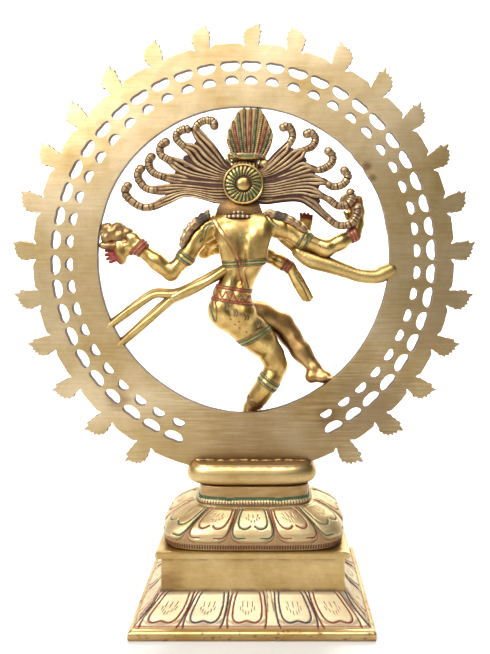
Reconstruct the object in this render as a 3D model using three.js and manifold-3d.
// Brass nataraja statue: a dancing four-armed figure on a dwarf, inside a pierced ring of
// flames, on a lotus pedestal over a stepped, hollow rectangular plinth.
// Millimetres, +Z up, the figure faces -Y. The origin is the centre of the footprint, on the floor.
import * as THREE from 'three';
import { mergeVertices } from 'three/addons/utils/BufferGeometryUtils.js';
import Module from 'manifold-3d';

const wasm = await Module();
wasm.setup();

// ---------------------------------------------------------------- driving dimensions
const GAP = 0.3;                    // clearance between neighbouring pieces
const BASE_X = -8.2;                // the pedestal stands a little to one side of the ring
const CAP_X = -6.4;                 // and its cap a little less so

const RIM = { w: 174, d: 110.4, h: 7 };            // plate the plinth stands on
const FLARE = { w: 168, d: 102, topW: 136, topD: 72, z: 22.5 };
const BOX = { w: 134.6, d: 70, z: 47 };
const SLAB = { w: 142, d: 76, z: 52.5 };
const WALL = 5;                     // wall of the hollow plinth casting
const PLATE = 8.5;                  // thickness of its top

const DOME_LEVELS = [               // z, half width, half depth, squareness
  [52.8, 67, 36.4, 5], [60.8, 67.4, 36.6, 5], [65, 69.5, 38.4, 4.2], [70, 66.5, 36, 4],
  [75, 56, 28.6, 4], [77.4, 50, 25.6, 4.4], [83.2, 48, 24.6, 4.6], [84.2, 42.3, 20.6, 4.6],
  [92.5, 42.3, 20.6, 4.6],
];
const CAP_LEVELS = [
  [92.8, 45, 18.6, 4.6], [96, 49, 21.4, 4.2], [100, 50, 22, 4], [105.6, 48.4, 21, 4.2],
  [108.3, 44.6, 18.8, 4.6],
];

const RING = {
  z: 266.4, outerX: 164.3, outerZ: 167.5, innerX: 113.6, innerZ: 118.2,
  back: 8, front: 1,                // y of its two faces
};
const FLAMES_PER_SIDE = 12;
const FLAME_PITCH = 12.617;         // degrees
const TOP_FLAME = 2.1;              // the top flame leans off the centre line by this much
const FLAME_THICK = 4.5;
const HOLES_PER_SIDE = 22;
const HOLE_START = { '-1': 4.0, 1: 2.5 };    // degrees, on each side of the ring
const HOLE_PITCH = { '-1': 7.34, 1: 7.1 };

const ROD = { r: 4, z0: 31, z1: 100 };
const WASHER = { r: 9, z0: 42, z1: 43.7 };
const NUT = { r: 7.6, z0: 35, z1: 41.7 };

const HEAD = { at: [1.3, -4, 320.5], r: [11, 12, 15] };
const MEDALLION = { at: [0, 324], r: 16, y0: 8.4, y1: 11.2, bossR: 5.3, bossY: 13.8 };

// Limbs are chains of stations [x, y, z, radius].
const NECK = [[5, -1.4, 292, 8], [3.5, -2.4, 310, 6.6]];
const SHOULDERS = [[29.3, -0.4, 291.4, 7.6], [2, -2, 288, 11.5], [-29, -0.4, 293, 7.6]];
const TRUNK = [[-0.2, -3, 276, 16.8], [0.9, -2.6, 266, 16.2], [3, -2, 250, 12.2],
  [9.8, -2.4, 236, 14], [12, -1.6, 224, 15]];
const STANDING_LEG = [[12, -1.6, 222, 15], [-5.6, -4.2, 207.4, 13], [-14.2, -5.8, 198.6, 11.6],
  [-22.4, -8, 187.4, 9.2], [-26.4, -9.6, 178.2, 8.1], [-21.4, -7.6, 168.6, 7.9],
  [-11.8, -7, 154.4, 7.2], [-5, -7.2, 145, 5.4]];
const STANDING_FOOT = [[-4, -5.4, 140.5, 4.6], [-9.5, -13, 139.4, 4.2], [-13.5, -19.5, 138, 3.4]];
const RAISED_LEG = [[9, -10, 224, 12], [-12, -16.6, 217.8, 10.8], [-28.6, -20.6, 210.6, 9.4],
  [-36, -18.6, 200.6, 8.4], [-45.4, -13.4, 188.6, 7.7], [-55, -7.8, 177.6, 5.8],
  [-53.4, -4.6, 171, 4.6]];
const RAISED_FOOT = [[-55, -7, 177.4, 5.4], [-62.6, -2, 172.2, 4.6], [-71.4, 2.4, 170.2, 3.7]];
const REAR_LEFT_ARM = [[29.3, -0.4, 291.4, 7.8], [45.2, 3, 267.8, 6.8], [57.3, 4.4, 253.9, 6],
  [69, 4.6, 264, 6.2], [82, 5, 275.2, 4.7], [93, 5, 281, 6], [99, 5, 272, 4.6], [106, 5, 266, 3.6]];
const REAR_RIGHT_ARM = [[-29, -0.4, 293, 7.8], [-45.4, 2, 281.8, 7.1], [-65, 2.4, 273.6, 6.6],
  [-77, 1, 279, 6], [-88.2, -1.6, 285, 5], [-90.6, -4.4, 297, 5.4], [-89.6, -8.6, 306.6, 4.8]];
const FRONT_RIGHT_ARM = [[-28.6, -6, 290, 7.3], [-45.6, -9.4, 272.6, 6], [-49.8, -18, 281.4, 4.7],
  [-51.2, -21.6, 290, 5.5], [-51.6, -23.6, 300, 3.8]];
const FRONT_LEFT_ARM = [[29, -7, 288, 7.4], [27, -20, 274.8, 6.2], [2, -20.4, 272.6, 5.7],
  [-18, -19.4, 268.2, 5.7], [-29, -18.2, 262.6, 5.6], [-37.4, -17.2, 258, 5],
  [-44.6, -16.4, 245.6, 5.4], [-53.4, -15.4, 230, 3.2]];
const DWARF = [[-16, -11.6, 121.4, 10.8], [15, -11.6, 120.4, 10.2]];
const DWARF_HEAD = [[-30, -11.6, 123, 6], [-35, -12, 126.4, 8.6]];
const DWARF_LEGS = [[15, -11.6, 119.4, 9.4], [31, -9, 116.6, 7], [37.6, -8, 127, 4.6]];
const DWARF_ARM = [[-15, -16, 121, 5], [-22, -17.6, 113.4, 4.2], [-32, -17, 113.6, 3.8]];
const COBRA = [[-44.6, -4, 271, 6], [-54, -2, 264.8, 6.8], [-68.2, 0.6, 260.2, 6.4],
  [-80.1, 2, 256.2, 5.8], [-92, 3, 252.4, 5.6], [-103.9, 3.6, 251.6, 5.7], [-115, 4.4, 256.4, 5.2]];
const SASH_MAIN = [[12, 3, 258.6, 4.7], [33.7, 4, 246.2, 5.2], [54.6, 4.6, 236.2, 5.3]];
const SASH_UPPER = [[54.6, 4.6, 236.8, 5], [69.6, 4.8, 238, 4.1], [82, 5, 230.6, 4.1],
  [106, 5, 213, 3.9]];
const SASH_LOWER = [[54.6, 4.6, 236.8, 5], [62.6, 4.8, 229, 4.2], [77, 5, 216, 4.2], [98, 5, 198, 3.8]];
const TRESS_LEFT = [[50, 9, 275.4, 2.2], [48.4, 9.4, 287.2, 2.6], [37, 9, 297, 2.6], [26, 6, 297.6, 2.2]];
const TRESS_RIGHT = [[-20, 6.6, 301.4, 2.2], [-35, 9.6, 296, 2.6], [-50, 9.6, 287.6, 2.4]];

const LOCK_R = 3.1;
const HAIR_Y = 5;
const LOCKS_LEFT = [                // x, z of each lock, from the head to its curled tip
  [[16, 310], [44, 317], [60, 312], [71, 307], [80, 306.4], [88.3, 311], [93.5, 318], [90, 325]],
  [[20, 318], [50, 321.4], [73.4, 320], [82, 327], [83, 333], [79.7, 338]],
  [[20, 325], [48, 327.6], [62.3, 330], [71.8, 334], [75, 341.8], [71.8, 347.4]],
  [[20, 329], [42, 334], [56, 342], [65, 347.6], [65, 354.4], [60, 358.4]],
  [[16, 333], [31.6, 342], [39, 350.5], [47.4, 354.6], [53, 361], [49.6, 366.4], [43, 367.6]],
  [[13, 337], [23.7, 352], [34, 362.6], [37.9, 368.6], [32.6, 374], [24.4, 374], [23, 369]],
];
const LOCKS_RIGHT = [
  [[-14, 334], [-26, 347.4], [-36, 356.8], [-38.6, 363], [-35.4, 369.8], [-30, 368.6]],
  [[-18, 331], [-33, 340], [-45, 350], [-53.6, 353.8], [-56.6, 360], [-52.6, 364.7], [-48.4, 363]],
  [[-20, 327], [-38.5, 334], [-49, 338], [-59, 335.6], [-68.4, 340], [-70, 346.6], [-65.6, 351.6]],
  [[-20, 322], [-48.8, 327.7], [-62, 327], [-70, 322.4], [-78.6, 324.6], [-82, 331], [-78, 336.6]],
  [[-18, 316], [-49, 319.6], [-66, 312.8], [-73.4, 307.6], [-81, 308], [-85, 313.6], [-83.4, 319.6]],
  [[-12, 310], [-41, 313], [-53.6, 307.6], [-66, 297.4], [-75, 292], [-84, 293.2], [-89.6, 301.6], [-89, 308]],
];

// ---------------------------------------------------------------- solids from three.js shapes
function toSolid(geometry) {
  const bare = geometry.clone();
  for (const name of Object.keys(bare.attributes)) if (name !== 'position') bare.deleteAttribute(name);
  const merged = mergeVertices(bare, 1e-3);
  const p = merged.attributes.position;
  const index = merged.index.array;
  const tris = [];
  let volume = 0;
  const a = new THREE.Vector3(), b = new THREE.Vector3(), c = new THREE.Vector3();
  for (let i = 0; i < index.length; i += 3) {
    const [u, v, w] = [index[i], index[i + 1], index[i + 2]];
    if (u === v || v === w || w === u) continue;
    tris.push(u, v, w);
    a.fromBufferAttribute(p, u); b.fromBufferAttribute(p, v); c.fromBufferAttribute(p, w);
    volume += a.dot(b.cross(c));
  }
  if (volume < 0) for (let i = 0; i < tris.length; i += 3) [tris[i], tris[i + 1]] = [tris[i + 1], tris[i]];
  const mesh = new wasm.Mesh({
    numProp: 3,
    vertProperties: new Float32Array(p.array),
    triVerts: new Uint32Array(tris),
  });
  return new wasm.Manifold(mesh);
}

function join(solids) {
  return solids.reduce((sum, s) => sum.add(s));
}

function box(w, d, h, at, tiltY = 0) {
  const g = new THREE.BoxGeometry(w, d, h);
  g.rotateY(THREE.MathUtils.degToRad(tiltY));
  g.translate(...at);
  return toSolid(g);
}

function ellipsoid(at, r, grow = 0, around = 10, down = 6) {
  const g = new THREE.SphereGeometry(1, around, down);
  g.rotateX(Math.PI / 2);
  g.scale(r[0] + grow, r[1] + grow, r[2] + grow);
  g.translate(...at);
  return toSolid(g);
}

function cylinder(r, z0, z1, x, y, sides = 16) {
  const g = new THREE.CylinderGeometry(r, r, z1 - z0, sides);
  g.rotateX(Math.PI / 2);
  g.translate(x, y, (z0 + z1) / 2);
  return toSolid(g);
}

// A disc or drum whose axis runs front to back.
function discY(rFront, rBack, y0, y1, x, z, sides = 20) {
  const g = new THREE.CylinderGeometry(rBack, rFront, y1 - y0, sides);
  g.translate(x, (y0 + y1) / 2, z);
  return toSolid(g);
}

// A tapered round bar swept through its stations, with rounded ends.
function chain(stations, grow = 0, sides = 8) {
  const points = stations.map((s) => new THREE.Vector3(s[0], s[1], s[2]));
  const radii = stations.map((s) => s[3] + grow);
  const last = points.length - 1;
  const along = points.map((_, i) => points[Math.min(i + 1, last)].clone()
    .sub(points[Math.max(i - 1, 0)]).normalize());
  const across = new THREE.Vector3().crossVectors(along[0],
    Math.abs(along[0].y) < 0.9 ? new THREE.Vector3(0, 1, 0) : new THREE.Vector3(1, 0, 0)).normalize();
  const positions = [];
  const index = [];
  const ring = (centre, dir, r) => {
    across.addScaledVector(dir, -across.dot(dir)).normalize();
    const third = new THREE.Vector3().crossVectors(dir, across);
    for (let k = 0; k < sides; k++) {
      const t = (k / sides) * Math.PI * 2;
      const v = centre.clone().addScaledVector(across, r * Math.cos(t)).addScaledVector(third, r * Math.sin(t));
      positions.push(v.x, v.y, v.z);
    }
  };
  const END = 0.72;                 // the rounded end is one bevel and a point
  ring(points[0].clone().addScaledVector(along[0], -END * radii[0]), along[0], END * radii[0]);
  points.forEach((p, i) => ring(p, along[i], radii[i]));
  ring(points[last].clone().addScaledVector(along[last], END * radii[last]), along[last], END * radii[last]);
  const rings = points.length + 2;
  for (let i = 0; i < rings - 1; i++) {
    for (let k = 0; k < sides; k++) {
      const j = (k + 1) % sides;
      const [a, b, c, d] = [i * sides + k, i * sides + j, (i + 1) * sides + j, (i + 1) * sides + k];
      index.push(a, b, c, a, c, d);
    }
  }
  for (const [at, dir, first, flip] of [
    [points[0], -radii[0], 0, true], [points[last], radii[last], (rings - 1) * sides, false]]) {
    const tip = at.clone().addScaledVector(flip ? along[0] : along[last], dir);
    const t = positions.length / 3;
    positions.push(tip.x, tip.y, tip.z);
    for (let k = 0; k < sides; k++) {
      const [u, v] = [first + k, first + ((k + 1) % sides)];
      index.push(...(flip ? [v, u, t] : [u, v, t]));
    }
  }
  const g = new THREE.BufferGeometry();
  g.setAttribute('position', new THREE.Float32BufferAttribute(positions, 3));
  g.setIndex(index);
  return toSolid(g);
}

// Stacked rounded-rectangle sections, closed at both ends.
function stack(levels, grow = 0, around = 28, x = BASE_X, y = 0) {
  const positions = [];
  const index = [];
  const last = levels.length - 1;
  levels.forEach(([z, hw, hd, n], k) => {
    const lift = k === 0 ? -grow : k === last ? grow : 0;
    for (let i = 0; i < around; i++) {
      const t = ((i + 0.5) / around) * Math.PI * 2;
      const [c, s] = [Math.cos(t), Math.sin(t)];
      positions.push(
        x + (hw + grow) * Math.sign(c) * Math.abs(c) ** (2 / n),
        y + (hd + grow) * Math.sign(s) * Math.abs(s) ** (2 / n), z + lift);
    }
  });
  for (let k = 0; k < last; k++) {
    for (let i = 0; i < around; i++) {
      const j = (i + 1) % around;
      const [a, b, c, d] = [k * around + i, k * around + j, (k + 1) * around + j, (k + 1) * around + i];
      index.push(a, b, c, a, c, d);
    }
  }
  for (const [k, up] of [[0, false], [last, true]]) {
    for (let i = 1; i < around - 1; i++) {
      const [a, b, c] = [k * around, k * around + i, k * around + i + 1];
      index.push(...(up ? [a, b, c] : [a, c, b]));
    }
  }
  const g = new THREE.BufferGeometry();
  g.setAttribute('position', new THREE.Float32BufferAttribute(positions, 3));
  g.setIndex(index);
  return toSolid(g);
}

// A flat shape drawn in x and z, given thickness from y0 to y1.
function plate(shape, y0, y1, curveSegments = 12) {
  const g = new THREE.ExtrudeGeometry(shape, { depth: y1 - y0, bevelEnabled: false, curveSegments });
  g.rotateX(Math.PI / 2);
  g.translate(0, y1, 0);
  return toSolid(g);
}

function polygon(points, Kind = THREE.Shape) {
  return new Kind(points.map(([x, z]) => new THREE.Vector2(x, z)));
}

function ellipse(rx, rz, count) {
  return Array.from({ length: count }, (_, i) => {
    const t = (i / count) * Math.PI * 2;
    return [rx * Math.cos(t), RING.z + rz * Math.sin(t)];
  });
}

// ---------------------------------------------------------------- plinth and pedestal
function rectLevels(rows) {
  const positions = [];
  for (const [z, w, d] of rows) {
    for (const [sx, sy] of [[-1, -1], [1, -1], [1, 1], [-1, 1]]) {
      positions.push(BASE_X + sx * w / 2, sy * d / 2, z);
    }
  }
  const index = [0, 2, 1, 0, 3, 2];
  for (let k = 0; k < rows.length - 1; k++) {
    for (let i = 0; i < 4; i++) {
      const j = (i + 1) % 4;
      const [a, b, c, d] = [k * 4 + i, k * 4 + j, k * 4 + 4 + j, k * 4 + 4 + i];
      index.push(a, b, c, a, c, d);
    }
  }
  const t = (rows.length - 1) * 4;
  index.push(t, t + 1, t + 2, t, t + 2, t + 3);
  const g = new THREE.BufferGeometry();
  g.setAttribute('position', new THREE.Float32BufferAttribute(positions, 3));
  g.setIndex(index);
  return toSolid(g);
}

function makePlinth() {
  const outer = rectLevels([
    [0, RIM.w, RIM.d], [RIM.h, RIM.w, RIM.d], [RIM.h + 0.01, FLARE.w, FLARE.d],
    [FLARE.z, FLARE.topW, FLARE.topD], [FLARE.z + 0.01, BOX.w, BOX.d], [BOX.z, BOX.w, BOX.d],
    [BOX.z + 0.01, SLAB.w, SLAB.d], [SLAB.z, SLAB.w, SLAB.d],
  ]);
  const inner = rectLevels([
    [-1, FLARE.w - 2 * WALL, FLARE.d - 2 * WALL], [RIM.h + 1, FLARE.w - 2 * WALL, FLARE.d - 2 * WALL],
    [FLARE.z + 1, BOX.w - 2 * WALL, BOX.d - 2 * WALL],
    [SLAB.z - PLATE, BOX.w - 2 * WALL, BOX.d - 2 * WALL],
  ]);
  return outer.subtract(inner);
}

function makeNut(grow) {
  return cylinder(NUT.r + grow, NUT.z0 - grow, NUT.z1 + grow, BASE_X, 0, 6);
}

// ---------------------------------------------------------------- ring of flames
function onRing(degrees, radius, side = 0) {
  const t = THREE.MathUtils.degToRad(degrees);
  const stretch = RING.outerZ / RING.outerX;
  const [c, s] = [Math.cos(t), Math.sin(t)];
  return [-(radius * s + side * c), RING.z + (radius * c - side * s) * stretch];
}

function flameShape(degrees, lean) {
  const R = RING.outerX;
  const outline = [[-6.6, -4], [-6.2, 3], [-9, 7.5], [-5, 13.6], [4.4, 19], [7.6, 12.8], [8.6, 8.4], [6.2, 3],
    [6.6, -4]];
  return polygon(outline.map(([t, r]) => onRing(degrees, R + r, t * lean)));
}

function makeRing(grow) {
  const { outerX, outerZ, innerX, innerZ, back, front } = RING;
  const body = polygon(ellipse(outerX + grow, outerZ + grow, 72));
  body.holes.push(polygon(ellipse(innerX - grow, innerZ - grow, 60), THREE.Path));
  if (grow > 0) return plate(body, front - grow, back + grow);
  for (const side of [-1, 1]) {
    for (let k = 0; k < HOLES_PER_SIDE; k++) {
      const at = side * (HOLE_START[side] + k * HOLE_PITCH[side]);
      const outer = [[-7, 150.4], [7, 150.4], [6.4, 146.7], [0, 143.6], [-6.4, 146.7]];
      const inner = [[-4.5, 134.2], [4.5, 134.2], [2.5, 139.7], [-2.5, 139.7]];
      for (const hole of [outer, inner]) {
        body.holes.push(polygon(hole.map(([t, r]) => onRing(at, r, t)), THREE.Path));
      }
    }
  }
  const parts = [plate(body, front, back)];
  parts.push(plate(flameShape(TOP_FLAME, 1), back - FLAME_THICK, back));
  for (const side of [-1, 1]) {
    for (let k = 1; k <= FLAMES_PER_SIDE; k++) {
      parts.push(plate(flameShape(side * k * FLAME_PITCH, -side), back - FLAME_THICK, back));
    }
  }
  return join(parts);
}

// ---------------------------------------------------------------- figure
function makeBody(grow) {
  return join([
    chain(NECK, grow), chain(SHOULDERS, grow), chain(TRUNK, grow, 10),
    chain(STANDING_LEG, grow), chain(STANDING_FOOT, grow, 6),
  ]);
}

function makeCrown(grow) {
  return join([
    ellipsoid([0, -3.6, 337], [13.6, 12.6, 8.4], grow),
    ellipsoid([-1.6, -4, 349], [10, 8.6, 12], grow), ellipsoid([-3.4, -3, 363], [6.6, 5.4, 11], grow),
  ]);
}

function makeCrest(grow) {
  const outline = [[9 + grow, 345], [15 + grow, 366], [7 + grow, 383.6 + grow],
    [-14.6 - grow, 383.6 + grow], [-24 - grow, 361], [-17 - grow, 345]];
  return plate(polygon(outline), 2.4 - grow, 8 + grow);
}

function makeHair(locks, side, grow) {
  const parts = locks.map((lock) => chain(
    lock.map(([x, z]) => [x, HAIR_Y, z, LOCK_R]), grow, 5));
  parts.push(ellipsoid([side * 17, HAIR_Y - 1, 323], [14, 3.6, 15], grow, 10, 6));
  return join(parts);
}

function makeDamaru(grow) {
  const [x, z] = [-86, 313];
  return join([discY(7 + grow, 3.4 + grow, -25 - grow, -18, x, z, 12),
    discY(3.4 + grow, 7 + grow, -18.2, -11.4 + grow, x, z, 12)]);
}

function makeDwarf(grow) {
  const whole = join([chain(DWARF, grow), chain(DWARF_HEAD, grow), chain(DWARF_LEGS, grow, 8),
    chain(DWARF_ARM, grow, 8)]);
  return whole.subtract(box(120, 60, 20, [0, -10, 98.6]));
}

// A metal band that hugs a limb between two planes.
function band(make, height, at, tilt, thick) {
  return (grow) => make(thick + grow).intersect(box(70, 60, height + 2 * grow, at, tilt));
}

function necklace(grow) {
  const g = new THREE.TorusGeometry(10.4, 1.7 + grow, 6, 18);
  g.rotateX(0.28);
  g.translate(4.2, -3.4, 302);
  return toSolid(g);
}

const leftArm = (grow) => chain(REAR_LEFT_ARM, grow);
const rightArm = (grow) => chain(REAR_RIGHT_ARM, grow);
const frontLeftArm = (grow) => chain(FRONT_LEFT_ARM, grow);

// ---------------------------------------------------------------- assembly
const BRASS = { color: 0xb8964f, roughness: 0.36, metalness: 1 };
const BRIGHT = { color: 0xd0b472, roughness: 0.3, metalness: 1 };
const STEEL = { color: 0x8d8f90, roughness: 0.42, metalness: 1 };
const RED = { color: 0x8a2a1c, roughness: 0.5, metalness: 0.3 };
const GREEN = { color: 0x2c6b38, roughness: 0.5, metalness: 0.3 };

const statue = new THREE.Group();
statue.name = 'brass_nataraja_statue';
const claimed = [];

// Each piece gives way to the pieces already placed, with the assembly clearance.
function add(name, make, look) {
  let solid = make(0);
  const b = solid.boundingBox();
  for (const other of claimed) {
    const apart = [0, 1, 2].some((i) => other.bounds.min[i] > b.max[i] || other.bounds.max[i] < b.min[i]);
    if (!apart) solid = solid.subtract(other.grown);
  }
  const grown = make(GAP);
  claimed.push({ grown, bounds: grown.boundingBox() });
  solid = solid.decompose().reduce((big, s) => (s.volume() > big.volume() ? s : big));
  const { vertProperties, triVerts } = solid.getMesh();
  const g = new THREE.BufferGeometry();
  g.setAttribute('position', new THREE.BufferAttribute(Float32Array.from(vertProperties), 3));
  g.setIndex(Array.from(triVerts));
  g.computeVertexNormals();
  const mesh = new THREE.Mesh(g, new THREE.MeshStandardMaterial(look));
  mesh.name = name;
  statue.add(mesh);
}

add('tie_rod', (grow) => cylinder(ROD.r + grow, ROD.z0, ROD.z1 + grow, BASE_X, 0), STEEL);
add('tie_washer', (grow) => cylinder(WASHER.r + grow, WASHER.z0 - grow, WASHER.z1 + grow, BASE_X, 0), STEEL);
add('tie_nut', makeNut, STEEL);
add('plinth', makePlinth, BRASS);
add('lotus_dome', (grow) => stack(DOME_LEVELS, grow), BRASS);
add('flame_ring', makeRing, BRASS);
add('pedestal_cap', (grow) => stack(CAP_LEVELS, grow, 28, CAP_X), BRASS);
add('body', makeBody, BRIGHT);
add('dwarf', makeDwarf, BRASS);
add('hip_belt', band(makeBody, 9, [9, -2, 237.4], -9, 1.8), RED);
add('chest_band', band(makeBody, 4.6, [0, -2, 262.4], 4, 1.6), GREEN);
add('thigh_band', band(makeBody, 6, [-9.6, -5, 204.6], 28, 1.5), GREEN);
add('calf_band', band(makeBody, 4.4, [-19.8, -7.8, 166.4], -36, 1.5), GREEN);
add('raised_leg', (grow) => join([chain(RAISED_LEG, grow), chain(RAISED_FOOT, grow, 8)]), BRIGHT);
add('head', (grow) => ellipsoid(HEAD.at, HEAD.r, grow, 14, 9), BRIGHT);
add('necklace', necklace, RED);
add('crown', makeCrown, BRIGHT);
add('medallion', (grow) => discY(MEDALLION.r + grow, MEDALLION.r + grow, MEDALLION.y0 - grow,
  MEDALLION.y1 + grow, ...MEDALLION.at, 24), GREEN);
add('medallion_boss', (grow) => discY(MEDALLION.bossR + grow, MEDALLION.bossR - 1.2 + grow,
  MEDALLION.y1 + GAP - grow, MEDALLION.bossY, ...MEDALLION.at, 14), BRIGHT);
add('crest', makeCrest, RED);
add('rear_left_arm', leftArm, BRIGHT);
add('rear_right_arm', rightArm, BRIGHT);
add('front_left_arm', frontLeftArm, BRIGHT);
add('front_right_arm', (grow) => chain(FRONT_RIGHT_ARM, grow), BRIGHT);
add('armlet_left', band(leftArm, 6, [46.2, 3, 266.6], -35, 1.5), GREEN);
add('armlet_right', band(rightArm, 6, [-48, 2, 280.6], 60, 1.5), GREEN);
add('bracelet_rear_left', band(leftArm, 7, [80, 5, 273.4], 49, 1.4), RED);
add('bracelet_rear_right', band(rightArm, 6, [-84.6, -1, 281.6], -65, 1.4), RED);
add('bracelet_front_left', band(frontLeftArm, 5, [-35.6, -17.6, 259.6], 71, 1.4), RED);
add('flame_bowl', (grow) => ellipsoid([103.4, 4.6, 285.4], [8, 7, 8.6], grow), RED);
add('damaru', makeDamaru, BRASS);
add('cobra', (grow) => chain(COBRA, grow, 8), BRASS);
add('sash', (grow) => join([chain(SASH_MAIN, grow, 8), chain(SASH_UPPER, grow, 8),
  chain(SASH_LOWER, grow, 8)]), BRASS);
add('tress_left', (grow) => chain(TRESS_LEFT, grow, 6), BRASS);
add('tress_right', (grow) => chain(TRESS_RIGHT, grow, 6), BRASS);
add('hair_left', (grow) => makeHair(LOCKS_LEFT, 1, grow), BRASS);
add('hair_right', (grow) => makeHair(LOCKS_RIGHT, -1, grow), BRASS);

export default statue;
